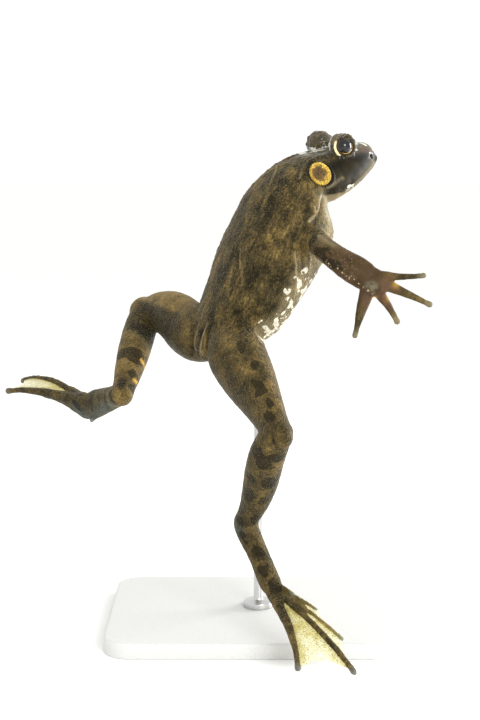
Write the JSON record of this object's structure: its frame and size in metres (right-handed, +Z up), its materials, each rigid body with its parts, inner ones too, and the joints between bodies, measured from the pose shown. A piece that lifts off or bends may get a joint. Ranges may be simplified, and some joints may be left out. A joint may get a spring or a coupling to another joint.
{
  "type": "american bullfrog",
  "caption": "Life-size adult male bullfrog in a floating pose, head raised, one arm reaching, webbed hind feet spread, held by one rod on a flat base.",
  "frame": {"origin": "middle of the flat underside of the stand's base", "axes": "+Z up; the frog faces +X and 28 degrees towards +Y, and its right side faces -Y"},
  "size_m": [0.2286, 0.2002, 0.2643],
  "materials": {
    "skin": "damp olive-brown warty skin with dark blotches, pale belly",
    "throat_skin": "damp tan skin of the lower jaw and throat",
    "foot_skin": "damp skin of the toes with thin yellow webs",
    "eye": "wet dark eye with a thin gold ring",
    "ear_drum": "gold granular ring round a brown centre",
    "stand_base": "plain pale matte base",
    "stand_rod": "plain steel rod"
  },
  "bodies": {
    "root": {"head": "skin", "lower_jaw": "throat_skin", "eye_left": "eye", "eye_right": "eye", "tympanum_left": "ear_drum", "tympanum_right": "ear_drum", "torso": "skin", "upper_arm_left": "skin", "upper_arm_right": "skin", "forearm_left": "skin", "forearm_right": "skin", "hand_left": "skin", "hand_right": "skin", "thigh_left": "skin", "thigh_right": "skin", "shank_left": "skin", "shank_right": "skin", "tarsus_left": "skin", "tarsus_right": "skin", "foot_left": "foot_skin", "foot_right": "foot_skin", "stand_base": "stand_base", "stand_rod": "stand_rod"}
  },
  "joints": []
}
